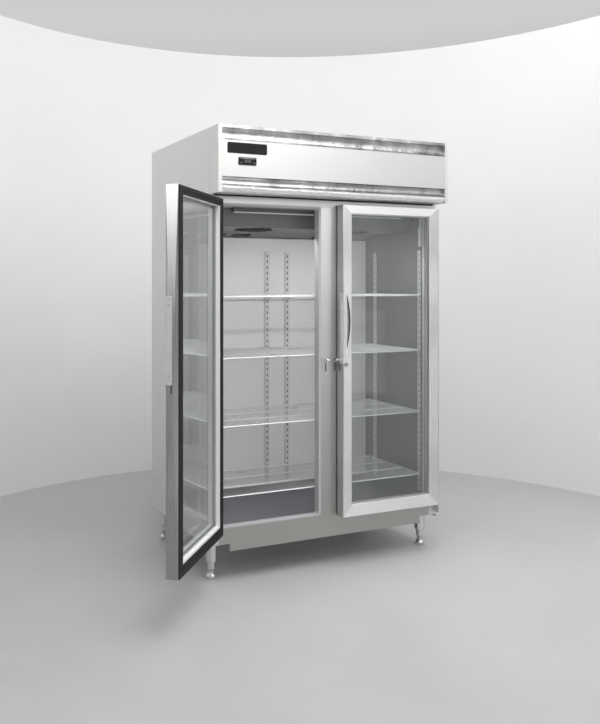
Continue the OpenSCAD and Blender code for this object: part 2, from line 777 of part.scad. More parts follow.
module edge_plate() {
    x = half_gap;
    y = [door_y + 1, door_y + 29];
    difference() {
        box([x - 1.8, x - 0.1], y, plate_z);
        for (z = plate_screws) translate([x - 3, door_y + 15, z])
            rotate([0, 90, 0]) cylinder(r = 2.6, h = 5);
    }
    for (z = plate_screws) translate([x - 2.8, door_y + 15, z])
        rotate([0, 90, 0]) cylinder(r = 2.5, h = 2.6);
    // raised grip lip
    box([x - 4.4, x - 1.8], [door_y + 9, door_y + 13], [1140, 1310]);
    for (z = [1140, 1310]) translate([x - 4.4, door_y + 11, z]) rotate([0, 90, 0]) cylinder(r = 2, h = 2.6);
}

// Black magnetic gasket: four strips on the back of the frame
module door_gasket() {
    y = [door_y + door_t + seam, face_y - 0.4];
    x = [half_gap + 1.5, door_x1 - 1.5];
    z = [door_z + 1.5, door_z + door_h - 1.5];
    lower = door_z + seal_w[2];
    upper = door_z + door_h - seal_w[3];
    color("#1c1d1e") {
        box([x[0], half_gap + seal_w[0]], y, [lower + seam, upper - seam]);
        box([door_x1 - seal_w[1], x[1]], y, [lower + seam, upper - seam]);
        box(x, y, [z[0], lower]);
        box(x, y, [upper, z[1]]);
    }
}

// Light strips inside the gasket, each with a reveal that runs from it down to the glass
module inner_frame() {
    y = [door_y + door_t + seam, door_y + door_t + 2.8];
    x = [half_gap + seal_w[0] + seam, door_x1 - seal_w[1] - seam];
    z = [door_z + seal_w[2] + seam, door_z + door_h - seal_w[3] - seam];
    in_x = [half_gap + stile_free - reveal_in, door_x1 - stile_hinge + reveal_in];
    in_z = [door_z + rail_bottom - reveal_in, door_z + door_h - rail_top + reveal_in];
    reveal = [pane_y[1] + pane_t + seam, y[1]];
    between = [in_x[0] + seam, in_x[1] - seam];
    thick = 1.7;
    box([x[0], in_x[0]], y, z);
    box([in_x[0] - thick, in_x[0]], reveal, [in_z[0] - thick, in_z[1] + thick]);
    box([in_x[1], x[1]], y, z);
    box([in_x[1], in_x[1] + thick], reveal, [in_z[0] - thick, in_z[1] + thick]);
    box(between, y, [z[0], in_z[0]]);
    box(between, reveal, [in_z[0] - thick, in_z[0]]);
    box(between, y, [in_z[1], z[1]]);
    box(between, reveal, [in_z[1], in_z[1] + thick]);
}

module door_glass() {
    inset = 5.6;
    x = [half_gap + stile_free - inset, door_x1 - stile_hinge + inset];
    z = [door_z + rail_bottom - inset, door_z + door_h - rail_top + inset];
    color([0.75, 0.85, 0.85, 0.4]) {
        for (y = pane_y) box(x, [y, y + pane_t], z);
        // edge spacer between the panes
        difference() {
            box([x[0] + 1, x[1] - 1], [pane_y[0] + pane_t + 0.05, pane_y[1] - 0.05], [z[0] + 1, z[1] - 1]);
            box([x[0] + 11, x[1] - 11], [pane_y[0], pane_y[1] + 5], [z[0] + 11, z[1] - 11]);
        }
    }
}

module door_lock() {
    x = half_gap + lock_x;
    color("#b9bbbc") difference() {
        union() {
            y_cylinder(x, lock_z, 9, [door_y - 0.5, door_y + 24]);
            y_cylinder(x, lock_z, 11, [door_y - 2.5, door_y - 0.3]);
            box([x - 3, x + 3], [door_y + 24, door_y + 27], [lock_z - 28, lock_z + 6]);
        }
        box([x - 0.7, x + 0.7], [door_y - 4, door_y + 6], [lock_z - 4.5, lock_z + 4.5]);
    }
}

// Places a part of the left door: mirrored, then swung open about its hinge
module left_door() {
    translate([-pivot[0], pivot[1], 0]) rotate([0, 0, -open_angle]) translate([pivot[0], -pivot[1], 0])
        mirror([1, 0, 0]) children();
}

module door_left_frame() { left_door() door_frame(); }

module door_left_gasket() { left_door() door_gasket(); }

module door_left_glass() { left_door() door_glass(); }

module door_left_handle() { left_door() door_handle(); }

module door_left_lock() { left_door() door_lock(); }

module door_left_hinges() { left_door() door_hinges(); }

// ---------- legs ----------

module at_legs() {
    for (x = [-leg_x, leg_x], y = [leg_front_y, leg_rear_y]) translate([x, y, 0]) children();
}

module legs() {
    color("#b9bbbc") at_legs() difference() {
        union() {
            translate([0, 0, side_bottom - 2]) cylinder(r = 38, h = 4 - seam);
            translate([0, 0, 84]) cylinder(r = 27, h = side_bottom - 84);
            translate([0, 0, 80]) cylinder(r1 = 23, r2 = 27, h = 4, $fn = 96);
            translate([0, 0, 46]) cylinder(r = 18.5, h = 36);
        }
        translate([0, 0, 40]) cylinder(r = 8.05, h = 60);
    }
}

module feet() {
    color("#a9abac") at_legs() rotate_extrude() polygon([
        [0, 0], [21, 0], [24, 3], [24, 14], [19, 22], [15, 26], [15, 38], [8, 42], [8, 90], [0, 90]
    ]);
}

// ---------- nodes ----------

side_panel_left();
side_panel_right();
back_panel();
base_frame();
top_deck();
foam_core();
liner();
face_frame();
centre_mullion();
breaker_strips();
kick_panel();
hood_side_left();
hood_side_right();
hood_rails();
hood_front_panel();
hood_trims();
badge_plate();
controller_body();
unit_base();
compressor();
condenser_coil();
condenser_shroud();
condenser_fan_motor();
refrigerant_lines();
control_box();
evaporator_housing();
evaporator_coil();
evaporator_fan_mounts();
light_strips();
pilasters();
shelf_clips();
strikes();
cabinet_hinges();
legs();
feet();
condenser_fan_blade();
evaporator_fan_left();
evaporator_fan_right();
controller_button_left();
controller_button_right();
shelf(1, -1);  // shelf_left_1
shelf(2, -1);  // shelf_left_2
shelf(3, -1);  // shelf_left_3
shelf(4, -1);  // shelf_left_4
shelf(1, 1);  // shelf_right_1
shelf(2, 1);  // shelf_right_2
shelf(3, 1);  // shelf_right_3
shelf(4, 1);  // shelf_right_4
door_left_frame();
door_left_gasket();
door_left_glass();
door_left_handle();
door_left_lock();
door_left_hinges();
door_frame();  // door_right_frame
door_gasket();  // door_right_gasket
door_glass();  // door_right_glass
door_handle();  // door_right_handle
door_lock();  // door_right_lock
door_hinges();  // door_right_hinges
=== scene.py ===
import json
import math

import bpy
from mathutils import Matrix, Vector


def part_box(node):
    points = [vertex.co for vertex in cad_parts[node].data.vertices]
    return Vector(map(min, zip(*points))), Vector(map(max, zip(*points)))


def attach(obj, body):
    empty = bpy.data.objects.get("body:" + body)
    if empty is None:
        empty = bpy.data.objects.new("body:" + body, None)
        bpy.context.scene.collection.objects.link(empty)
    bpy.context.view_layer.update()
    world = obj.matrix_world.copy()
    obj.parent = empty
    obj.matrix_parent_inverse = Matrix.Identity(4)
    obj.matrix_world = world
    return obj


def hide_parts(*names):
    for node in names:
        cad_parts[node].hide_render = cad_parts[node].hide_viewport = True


# Looks of a two-section glass door merchandiser. Metres, +Z up, +Y from the doors to the back.

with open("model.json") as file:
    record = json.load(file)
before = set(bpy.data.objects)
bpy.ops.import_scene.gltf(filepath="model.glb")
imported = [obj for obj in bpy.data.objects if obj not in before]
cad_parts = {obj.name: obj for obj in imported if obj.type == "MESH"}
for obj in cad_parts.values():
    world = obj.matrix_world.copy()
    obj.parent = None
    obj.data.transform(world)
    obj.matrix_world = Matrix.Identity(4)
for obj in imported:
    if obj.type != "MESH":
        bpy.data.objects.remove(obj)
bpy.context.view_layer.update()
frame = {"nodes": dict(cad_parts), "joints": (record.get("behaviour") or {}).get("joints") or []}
nodes = frame["nodes"]
joints = {j["name"]: j for j in frame["joints"]}

MM = 0.001


# ---------- node helpers ----------

class Shade:
    """A material being made: add() makes a node, sets its inputs and gives back its first output."""

    def __init__(self, name):
        self.material = bpy.data.materials.new(name)
        self.material.use_nodes = True
        self.tree = self.material.node_tree
        self.bsdf = self.tree.nodes["Principled BSDF"]

    def add(self, kind, inputs=None, out=0, **settings):
        node = self.tree.nodes.new("ShaderNode" + kind)
        for key, value in settings.items():
            setattr(node, key, value)
        for key, value in (inputs or {}).items():
            self.put(node.inputs[key], value)
        return node.outputs[out]

    def put(self, socket, value):
        """Links another node's output to a socket, or sets the socket's own value."""
        if isinstance(value, bpy.types.NodeSocket):
            self.tree.links.new(value, socket)
        else:
            socket.default_value = value

    def set(self, **values):
        """Sets inputs of the material's main shader."""
        for key, value in values.items():
            self.put(self.bsdf.inputs[key.replace("_", " ")], value)
        return self

    def point(self):
        """The point on the piece, in the CAD's frame at rest."""
        return self.add("TexCoord", out=3)

    def axis(self, index):
        """One coordinate of that point: 0, 1 or 2 for X, Y or Z."""
        return self.add("SeparateXYZ", {0: self.point()}, out=index)

    def place(self, scale):
        """That point stretched by scale, for a pattern that changes faster one way than another."""
        return self.add("Mapping", {"Vector": self.point(), "Scale": scale})

    def noise(self, scale, size=1.0, detail=3.0, roughness=0.55, vector=None):
        where = vector if vector is not None else self.place(scale)
        inputs = {"Vector": where, "Scale": size, "Detail": detail, "Roughness": roughness}
        return self.add("TexNoise", inputs)

    def math(self, operation, a, b=0.0, c=0.0):
        return self.add("Math", {0: a, 1: b, 2: c}, operation=operation)

    def between(self, value, low, high):
        """value, which runs over the middle of 0 to 1 as noise does, spread from low to high."""
        inputs = {"Value": value, "From Min": 0.3, "From Max": 0.7, "To Min": low, "To Max": high}
        return self.add("MapRange", inputs)

    def mix(self, factor, a, b):
        return self.add("Mix", {0: factor, 6: a, 7: b}, out=2, data_type="RGBA")

    def bump(self, height, strength, distance):
        return self.add("Bump", {"Height": height, "Strength": strength, "Distance": distance})


def rgb(color, gain=1.0):
    """A colour for a socket, made brighter or darker by gain."""
    return tuple(min(c * gain, 1.0) for c in color) + (1.0,)


# ---------- materials ----------

# Brushing: how often its noise changes per metre across the lines, and along them
ACROSS, ALONG = 1400, 5


def brushed(name, color, rough=0.34, along="Z", tint=0.07, ripple=0.0, metallic=1.0, foot_shade=0.0):
    """Satin sheet: fine lines along one axis, faint clouds where it was wiped, a ripple and painted shade at
    its foot.
    """
    s = Shade(name)
    lines = s.noise([ALONG if letter == along else ACROSS for letter in "XYZ"], detail=2.0)
    # Heights in metres where the painted shade at the foot is full, and where it ends
    shaded_at, unshaded_at = 0.3, 1.5
    clouds = s.noise((2.3, 2.3, 1.6), detail=5.0, roughness=0.6)
    smears = s.noise((9, 9, 4), detail=6.0, roughness=0.7)
    tone = s.math("MULTIPLY_ADD", s.between(lines, 0, 1), 0.45, s.math("MULTIPLY", clouds, 0.55))
    base = s.mix(tone, rgb(color, 1 - tint), rgb(color, 1 + tint))
    # Painted shade: the colour darkens towards the foot, fully at the lower height and not at all above the
    # upper one
    if foot_shade:
        shade_fall = {"Value": s.axis(2), "From Min": shaded_at, "From Max": unshaded_at, "To Min": foot_shade, "To Max": 0.0}
        base = s.mix(s.add("MapRange", shade_fall), base, (0.3, 0.3, 0.28, 1))
    lined = s.between(lines, rough - 0.04, rough + 0.03)
    worn = s.math("MULTIPLY_ADD", s.between(smears, 0, 1), 0.06, lined)
    height = s.math("MULTIPLY_ADD", s.noise((1.7, 1.7, 2.2), detail=1.0), ripple * 30, lines)
    s.set(Base_Color=base, Roughness=worn, Metallic=metallic, Normal=s.bump(height, 0.35, 0.00012))
    return s.material


def polished(name, color):
    """Mirror-like rolled sheet whose reflections break up along its length, partly as painted reflections in
    its colour, with a painted highlight on the lip at its foot.
    """
    s = Shade(name)
    lip_height = 26 * MM
    waves = s.noise((9, 12, 5), detail=2.0, roughness=0.5)
    streaks = s.noise((70, 900, 900), detail=2.0)
    # Painted reflections: the colour swings between dark and bright copies of the metal along the waves
    base = s.mix(s.between(waves, 0, 1), rgb(color, 0.5), rgb(color, 1.25))
    # Painted highlight: the lip at the foot is coloured near white
    lip = s.math("LESS_THAN", s.axis(2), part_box("hood_trims")[0].z + lip_height)
    base = s.mix(lip, base, (0.97, 0.97, 0.97, 1))
    height = s.math("MULTIPLY_ADD", waves, 6.0, s.math("MULTIPLY", streaks, 0.3))
    s.set(Base_Color=base, Metallic=1.0, Roughness=s.between(streaks, 0.2, 0.3))
    s.set(Normal=s.bump(height, 0.6, 0.0025))
    return s.material


def painted(name, color, rough=0.45, metallic=0.0, grain=600.0, mottling=0.05, depth=0.0001, shine=0.5):
    """Paint, coating or moulded plastic with a fine orange-peel grain and soft dirt in its tone."""
    s = Shade(name)
    peel = s.noise((grain, grain, grain), detail=2.0)
    clouds = s.noise((6, 6, 4), detail=5.0, roughness=0.65)
    base = s.mix(s.between(clouds, 0, 1), rgb(color, 1 - mottling), rgb(color, 1 + mottling))
    s.set(Base_Color=base, Roughness=s.between(clouds, rough - 0.05, rough + 0.06), Metallic=metallic)
    s.set(Normal=s.bump(peel, 0.3, depth), Specular_IOR_Level=shine)
    return s.material


def clear_glass(name):
    """Thin clear pane: lets light straight through and mirrors more at a low angle."""
    s = Shade(name)
    wipes = s.noise((5, 5, 1.6), detail=5.0, roughness=0.65)
    tint = s.mix(s.between(wipes, 0, 1), (0.965, 0.972, 0.965, 1), (0.985, 0.99, 0.984, 1))
    through = s.add("BsdfTransparent", {"Color": tint})
    s.set(Base_Color=(0.95, 0.97, 0.97, 1), Metallic=1.0, Roughness=s.between(wipes, 0.015, 0.04))
    slant = s.add("LayerWeight", {"Blend": 0.5}, out=1)
    share = s.math("MULTIPLY_ADD", s.math("POWER", slant, 5.0), 0.96, 0.04)
    surface = s.add("MixShader", {0: share, 1: through, 2: s.bsdf.outputs[0]})
    s.put(s.tree.nodes["Material Output"].inputs["Surface"], surface)
    return s.material


def liner(name, color):
    """Inner lining: pale painted rear wall, bare steel sides and a darker steel floor."""
    s = Shade(name)
    floor_depth, side_depth = 20 * MM, 3 * MM
    low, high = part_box("liner")
    floor = s.math("LESS_THAN", s.axis(2), low.z + floor_depth)
    side = s.math("GREATER_THAN", s.math("ABSOLUTE", s.axis(0)), high.x - side_depth)
    side = s.math("MULTIPLY", side, s.math("SUBTRACT", 1.0, floor))
    clouds = s.noise((4, 4, 3), detail=5.0, roughness=0.6)
    peel = s.noise((450, 450, 450), detail=2.0)
    walls = s.mix(s.between(clouds, 0, 1), rgb(color, 0.97), rgb(color, 1.03))
    steel = s.mix(s.between(clouds, 0, 1), (0.3, 0.3, 0.33, 1), (0.36, 0.36, 0.39, 1))
    sheet = s.mix(s.between(clouds, 0, 1), (0.27, 0.27, 0.265, 1), (0.32, 0.32, 0.315, 1))
    bare = s.math("MULTIPLY_ADD", side, 0.6, s.math("MULTIPLY", floor, 0.85))
    s.set(Base_Color=s.mix(side, s.mix(floor, walls, steel), sheet), Metallic=bare)
    s.set(Roughness=s.math("MULTIPLY_ADD", floor, 0.1, s.between(clouds, 0.36, 0.44)))
    s.set(Normal=s.bump(peel, 0.25, 0.0001))
    return s.material


def lamp(name, color, strength):
    """Lamp strip: a dark body above a faintly glowing frosted cover."""
    s = Shade(name)
    body_height, cover_end = 20.8 * MM, 20 * MM
    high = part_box("light_strips")[1]
    body = s.math("GREATER_THAN", s.axis(2), high.z - body_height)
    inner = s.math("LESS_THAN", s.math("ABSOLUTE", s.axis(0)), high.x - cover_end)
    body = s.math("MULTIPLY", body, inner)
    frost = s.noise((300, 300, 300), detail=2.0)
    cover = s.mix(frost, rgb(color, 0.93), rgb(color))
    s.set(Base_Color=s.mix(body, cover, (0.16, 0.165, 0.165, 1)), Roughness=0.5)
    s.set(Emission_Color=s.mix(body, cover, (0, 0, 0, 1)), Emission_Strength=strength)
    return s.material


# Share of a member's width, from its outer edge, where the light inner strip begins
STRIP_START = 0.8
# How deep the door's free edge is read as its narrow side face
EDGE_FACE = 1.5 * MM
# Height on the door, as a share of it, and how bright the stiles are there: bands of painted reflection and
# painted shade
STILE_REFLECTION_BANDS = ((0.0, 0.75), (0.1, 0.6), (0.16, 0.65), (0.23, 1.0), (0.5, 1.0), (0.58, 0.6), (0.66, 0.65),
               (0.72, 1.0), (0.78, 0.9), (0.86, 0.35), (1.0, 0.45))


def door_steel(name, door, color, foot_shade=0.0, rough=0.26):
    """Brushed door frame: lines that turn with each mitred member, stiles banded with painted reflections and
    painted a little darker than the rails, painted shade at the foot of the free edge, light strips inside.
    """
    s = Shade(name)

    def way(direction):
        return s.add("VectorMath", {0: s.point(), 1: direction}, out=1, operation="DOT_PRODUCT")

    u = s.math("SUBTRACT", way(door.across), door.free_edge)
    z = s.axis(2)
    v = s.math("SUBTRACT", z, door.low)
    from_top = s.math("SUBTRACT", door.height, v)
    from_hinge = s.math("SUBTRACT", door.width, u)
    side = s.math("MINIMUM", s.math("DIVIDE", u, door.stile_free),
                  s.math("DIVIDE", from_hinge, door.stile_hinge))
    end = s.math("MINIMUM", s.math("DIVIDE", v, door.rail_low), s.math("DIVIDE", from_top, door.rail_top))
    is_rail = s.math("LESS_THAN", end, side)
    upright = s.noise((ACROSS, ACROSS, ALONG), detail=2.0)
    flat = s.add("CombineXYZ", {0: s.math("MULTIPLY", u, ALONG), 1: s.math("MULTIPLY", z, ACROSS), 2: 0.0})
    level = s.noise(None, detail=2.0, vector=flat)
    lines = s.add("Mix", {0: is_rail, 2: upright, 3: level})
    clouds = s.noise((3, 3, 1.5), detail=5.0, roughness=0.6)
    tone = s.math("MULTIPLY_ADD", s.between(lines, 0, 1), 0.4, s.math("MULTIPLY", clouds, 0.6))
    # Painted reflections and painted shade: the stiles darken in bands up the door, and stay a little darker
    # than the rails
    reflection_bands = s.add("ValToRGB", {"Fac": s.math("DIVIDE", v, door.height)})
    stops = reflection_bands.node.color_ramp.elements
    for k, (place, bright) in enumerate(STILE_REFLECTION_BANDS):
        stop = stops[k] if place == 0.0 else stops[-1] if place == 1.0 else stops.new(place)
        stop.color = (bright, bright, bright, 1)
    stile = s.mix(reflection_bands, rgb(color, 0.6), s.mix(tone, rgb(color, 0.85), rgb(color, 0.97)))
    rail = s.mix(tone, rgb(color, 0.96), rgb(color, 1.08))
    # Painted shade on the free edge's narrow side face, darker towards the foot
    edge = s.math("LESS_THAN", u, EDGE_FACE)
    shade_fall = s.math("MULTIPLY", s.math("DIVIDE", from_top, door.height), s.math("MULTIPLY", edge, foot_shade))
    base = s.mix(shade_fall, s.mix(is_rail, stile, rail), (0.2, 0.2, 0.19, 1))
    behind = s.math("GREATER_THAN", way(door.inwards), door.glass_back_depth)
    within = s.math("GREATER_THAN", s.math("MINIMUM", side, end), STRIP_START)
    plastic = s.math("MULTIPLY", behind, within)
    base = s.mix(plastic, base, (0.84, 0.84, 0.83, 1))
    s.set(Base_Color=base, Metallic=s.math("SUBTRACT", 1.0, plastic))
    s.set(Roughness=s.between(lines, rough - 0.04, rough + 0.06), Normal=s.bump(lines, 0.22, 0.0001))
    return s.material


# ---------- mesh helpers ----------

def piece(name, verts, faces, body, slot, material, smooth=False, replaces=()):
    """One visible piece from points and faces, riding on a body."""
    mesh = bpy.data.meshes.new(name)
    mesh.from_pydata([tuple(v) for v in verts], [], [tuple(f) for f in faces])
    mesh.validate()
    mesh.update()
    obj = bpy.data.objects.new(name, mesh)
    bpy.context.scene.collection.objects.link(obj)
    mesh.materials.append(material)
    if smooth:
        mesh.shade_smooth()
    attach(obj, body)
    if replaces:
        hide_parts(*replaces)
    return obj


def add_part(verts, faces, new_verts, new_faces):
    """Adds one more closed shape to a piece's points and faces."""
    start = len(verts)
    verts.extend(new_verts)
    faces.extend([tuple(i + start for i in f) for f in new_faces])


def block(low, high):
    """Corners and faces of a box."""
    (x0, y0, z0), (x1, y1, z1) = low, high
    verts = [Vector((x, y, z)) for z in (z0, z1) for x, y in ((x0, y0), (x1, y0), (x1, y1), (x0, y1))]
    faces = [(3, 2, 1, 0), (4, 5, 6, 7), (0, 1, 5, 4), (1, 2, 6, 5), (2, 3, 7, 6), (3, 0, 4, 7)]
    return verts, faces


def soften(obj, width, angle=35, segments=2):
    """Joins the split corners of a mesh and rounds its edges, by modifiers."""
    weld = obj.modifiers.new("Weld", "WELD")
    weld.merge_threshold = 0.00001
    bevel = obj.modifiers.new("Bevel", "BEVEL")
    bevel.width = width
    bevel.segments = segments
    bevel.limit_method = "ANGLE"
    bevel.angle_limit = math.radians(angle)
    bevel.harden_normals = True


def ring_sweep(corners, profile):
    """A profile of (inward share, depth) swept round a frame. Each corner gives a point for such a pair."""
    count = len(profile)
    verts = [corner(share, depth) for corner in corners for share, depth in profile]
    faces = []
    for k in range(4):
        for i in range(count):
            j = (i + 1) % count
            a, b = k * count, (k + 1) % 4 * count
            faces.append((a + i, a + j, b + j, b + i))
    return verts, faces


def ring_corners(left, right, low, high, step, point):
    """Corners of a ring that starts on this rectangle and runs inwards; step gives the way in for a share."""
    out = []
    for at_right, at_top in ((0, 0), (1, 0), (1, 1), (0, 1)):
        def corner(share, depth, at_right=at_right, at_top=at_top):
            inward = step(share)
            return point(right - inward if at_right else left + inward, depth,
                         high - inward if at_top else low + inward)
        out.append(corner)
    return out


def screw(centre, normal, radius, rise):
    """Round screw head with a hexagonal socket, standing on a face; rise is its height for a radius of 1."""
    count = 12
    normal = Vector(normal)
    side = normal.orthogonal().normalized()
    up = normal.cross(side)

    def ring(size, height, hexagon=False):
        out = []
        for i in range(count):
            a = 2 * math.pi * i / count
            r = size * (math.cos(math.pi / 6) / math.cos(a % (math.pi / 3) - math.pi / 6) if hexagon else 1)
            out.append(Vector(centre) + side * r * math.cos(a) + up * r * math.sin(a) + normal * height)
        return out

    top = radius * rise
    rings = [ring(radius, 0), ring(radius, top * 0.27), ring(radius * 0.86, top * 0.73),
             ring(radius * 0.6, top * 0.95), ring(radius * 0.42, top, True),
             ring(radius * 0.4, top * 0.27, True)]
    verts = [v for r in rings for v in r]
    faces = [tuple(range(count))[::-1], tuple(range((len(rings) - 1) * count, len(rings) * count))]
    for k in range(len(rings) - 1):
        for i in range(count):
            j = (i + 1) % count
            faces.append((k * count + i, k * count + j, (k + 1) * count + j, (k + 1) * count + i))
    return verts, faces


def screws(name, places, body, slot, material, radius=4.5 * MM, rise=0.44):
    """One piece with a screw head at each (centre, outward direction)."""
    verts, faces = [], []
    for centre, normal in places:
        add_part(verts, faces, *screw(centre, normal, radius, rise))
    return piece(name, verts, faces, body, slot, material)


def fins(name, low, high, pitch, body, slot, material):
    """A pack of thin plates standing across X between two corners."""
    verts, faces = [], []
    half = 0.4 * MM
    count = int((high[0] - low[0]) / pitch)
    for i in range(count):
        x = low[0] + pitch * (i + 0.5)
        add_part(verts, faces, *block((x - half, low[1], low[2]), (x + half, high[1], high[2])))
    return piece(name, verts, faces, body, slot, material)


# ---------- the doors' own frame ----------

PANE_LAP = 5.6 * MM  # how far the glass reaches behind the steel


class Door:
    """Where one door is: u runs from its free edge, y is depth as if it were shut, z is height."""

    def __init__(self, side):
        self.side = side
        self.body = "door_" + side
        low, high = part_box("door_right_frame")
        glass_low, glass_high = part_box("door_right_glass")
        seal_low, seal_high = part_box("door_right_gasket")
        self.front, self.back = low.y, seal_low.y
        self.seal = seal_high.y - seal_low.y
        self.low, self.high = low.z, high.z
        self.width, self.height = high.x - low.x, high.z - low.z
        self.stile_free = glass_low.x + PANE_LAP - low.x
        self.stile_hinge = high.x - glass_high.x + PANE_LAP
        self.rail_low = glass_low.z + PANE_LAP - low.z
        self.rail_top = high.z - glass_high.z + PANE_LAP
        self.edge_x = low.x
        if side == "left":
            joint = joints["door_left_hinge"]
            self.pivot = Vector(joint["pos_m"])
            self.turn = Matrix.Rotation(-math.radians(joint["range_deg"][1]), 3, "Z")
        across = self.at(1, 0, 0) - self.at(0, 0, 0)
        self.across = tuple(across)
        self.free_edge = self.at(0, 0, 0).dot(across)
        inwards = self.at(0, 1, 0) - self.at(0, 0, 0)
        self.inwards = tuple(inwards)
        self.glass_back_depth = self.at(0, glass_high.y + 0.3 * MM, 0).dot(inwards)

    def at(self, u, y, z):
        """Where a point of the door is at rest."""
        x = self.edge_x + u
        if self.side == "right":
            return Vector((x, y, z))
        shut = Vector((-x, y, z)) - self.pivot
        return self.turn @ shut + self.pivot

    def piece(self, name, verts, faces, slot, material, **more):
        """A piece of this door, whose faces are turned over on the left door, which is mirrored."""
        if self.side == "left":
            faces = [f[::-1] for f in faces]
        return piece(name + "_" + self.side, verts, faces, self.body, slot, material, **more)

    def corners(self, inset, widths):
        """Corner points of a ring: inset from the door's outline, widths (free, hinge, low, top)."""
        free, hinge, low, top = widths
        out = []
        for at_hinge, at_top in ((0, 0), (1, 0), (1, 1), (0, 1)):
            def corner(share, depth, at_hinge=at_hinge, at_top=at_top):
                u = self.width - inset - share * hinge if at_hinge else inset + share * free
                z = self.high - inset - share * top if at_top else self.low + inset + share * low
                return self.at(u, depth, z)
            out.append(corner)
        return out


doors = {side: Door(side) for side in ("left", "right")}

# The same stainless steel in each part, with base colours set per part as painted light and shade: the kick
# panel is darkest, as painted shade, and the mullion gets painted shade at its foot
STEEL = {
    "side": brushed("satin_side", (0.72, 0.72, 0.70), rough=0.42, along="Z", tint=0.04, ripple=0.3,
                    metallic=0.85),
    "front": brushed("satin_front", (0.66, 0.66, 0.655), rough=0.36, along="X", tint=0.05, ripple=0.3),
    "mullion": brushed("satin_mullion", (0.78, 0.78, 0.775), rough=0.33, along="Z", tint=0.08, foot_shade=0.75),
    "kick": brushed("satin_kick", (0.43, 0.43, 0.41), rough=0.4, along="X", tint=0.05),
    "small": brushed("satin_small", (0.7, 0.7, 0.7), rough=0.25, along="Z", tint=0.05),
}
POLISHED = polished("polished_trim", (0.53, 0.53, 0.53))
CHROME = painted("bright_plating", (0.9, 0.9, 0.9), rough=0.24, metallic=0.55, grain=60, mottling=0.06,
                 depth=0.00004)
LOCK = brushed("lock_barrel", (0.42, 0.42, 0.42), rough=0.3, along="Y", tint=0.08)
WIRE = painted("silver_wire", (0.93, 0.935, 0.94), rough=0.3, metallic=0.15, grain=900, mottling=0.04)
LINER = liner("liner_sheet", (0.84, 0.835, 0.83))
TRIM = painted("breaker_plastic", (0.48, 0.485, 0.49), rough=0.35, grain=350, mottling=0.03)
HOUSING = painted("dark_housing", (0.2, 0.205, 0.205), rough=0.45, metallic=0.2)
PILASTER = painted("pilaster_zinc", (0.74, 0.735, 0.73), rough=0.4, metallic=0.2)
GALVANISED = painted("galvanised", (0.55, 0.57, 0.58), rough=0.45, metallic=0.8, grain=60, mottling=0.12)
BLACK_GLOSS = painted("black_gloss", (0.006, 0.006, 0.006), rough=0.3, grain=200, depth=0.00003, shine=0.2)
ENAMEL = painted("black_enamel", (0.02, 0.021, 0.022), rough=0.35, grain=300)
RUBBER = painted("gasket_rubber", (0.016, 0.0165, 0.0165), rough=0.6, grain=900, mottling=0.2, shine=0.25)
BEAD = painted("glazing_bead", (0.3, 0.305, 0.3), rough=0.5, grain=500)
FAN_PLASTIC = painted("fan_plastic", (0.03, 0.032, 0.034), rough=0.5, grain=500)
GREY_PLASTIC = painted("grey_plastic", (0.23, 0.235, 0.24), rough=0.4, grain=400)
FOAM = painted("foam", (0.8, 0.7, 0.42), rough=0.85, grain=220, mottling=0.12, depth=0.0006)
COPPER = painted("copper_pipe", (0.66, 0.33, 0.19), rough=0.3, metallic=1.0, grain=120, mottling=0.15)
FIN_ALLOY = painted("fin_alloy", (0.7, 0.71, 0.72), rough=0.35, metallic=0.9, grain=700)
SHADOW = painted("slot_shadow", (0.05, 0.05, 0.052), rough=0.7)
MOTOR = painted("motor_grey", (0.25, 0.26, 0.27), rough=0.4, metallic=0.4)
GLASS = clear_glass("clear_pane")
LAMP = lamp("lamp_cover", (0.9, 0.9, 0.89), 0.05)

# What each carried-over CAD node is made of
LOOKS = {
    STEEL["side"]: ["side_panel_left", "side_panel_right", "hood_side_left", "hood_side_right", "hood_rails"],
    STEEL["front"]: ["face_frame", "hood_front_panel"],
    STEEL["mullion"]: ["centre_mullion"],
    STEEL["kick"]: ["kick_panel"],
    STEEL["small"]: ["legs", "feet", "strikes", "cabinet_hinges", "door_left_hinges", "door_right_hinges"],
    POLISHED: ["hood_trims"],
    CHROME: ["door_left_handle", "door_right_handle"],
    LOCK: ["door_left_lock", "door_right_lock"],
    WIRE: ["shelf_clips"] + [n for n in nodes if n.startswith("shelf_left_") or n.startswith("shelf_right_")],
    LINER: ["liner"],
    TRIM: ["breaker_strips"],
    HOUSING: ["evaporator_housing"],
    PILASTER: ["pilasters"],
    GALVANISED: ["back_panel", "base_frame", "top_deck", "unit_base", "control_box"],
    BLACK_GLOSS: ["badge_plate", "controller_body"],
    ENAMEL: ["compressor", "condenser_shroud"],
    FAN_PLASTIC: ["condenser_fan_blade", "evaporator_fan_left", "evaporator_fan_right",
                  "evaporator_fan_mounts"],
    GREY_PLASTIC: ["controller_button_left", "controller_button_right"],
    FOAM: ["foam_core"],
    COPPER: ["refrigerant_lines"],
    FIN_ALLOY: ["condenser_coil", "evaporator_coil"],
    MOTOR: ["condenser_fan_motor"],
    LAMP: ["light_strips"],
    RUBBER: ["door_left_gasket", "door_right_gasket"],
    GLASS: ["door_left_glass", "door_right_glass"],
}


def dress(node, material):
    materials = nodes[node].data.materials
    materials.clear()
    materials.append(material)


for look, members in LOOKS.items():
    for member in members:
        dress(member, look)
# Painted shade towards the foot of the free edge, on the left door only
for side, foot_shade in (("left", 0.75), ("right", 0.0)):
    frame_node = "door_" + side + "_frame"
    dress(frame_node, door_steel("door_steel_" + side, doors[side], (0.96, 0.96, 0.95), foot_shade))
    soften(nodes[frame_node], 0.9 * MM)
for member in ("badge_plate", "controller_body", "strikes", "hood_front_panel", "kick_panel"):
    soften(nodes[member], 0.5 * MM)


# ---------- door details ----------

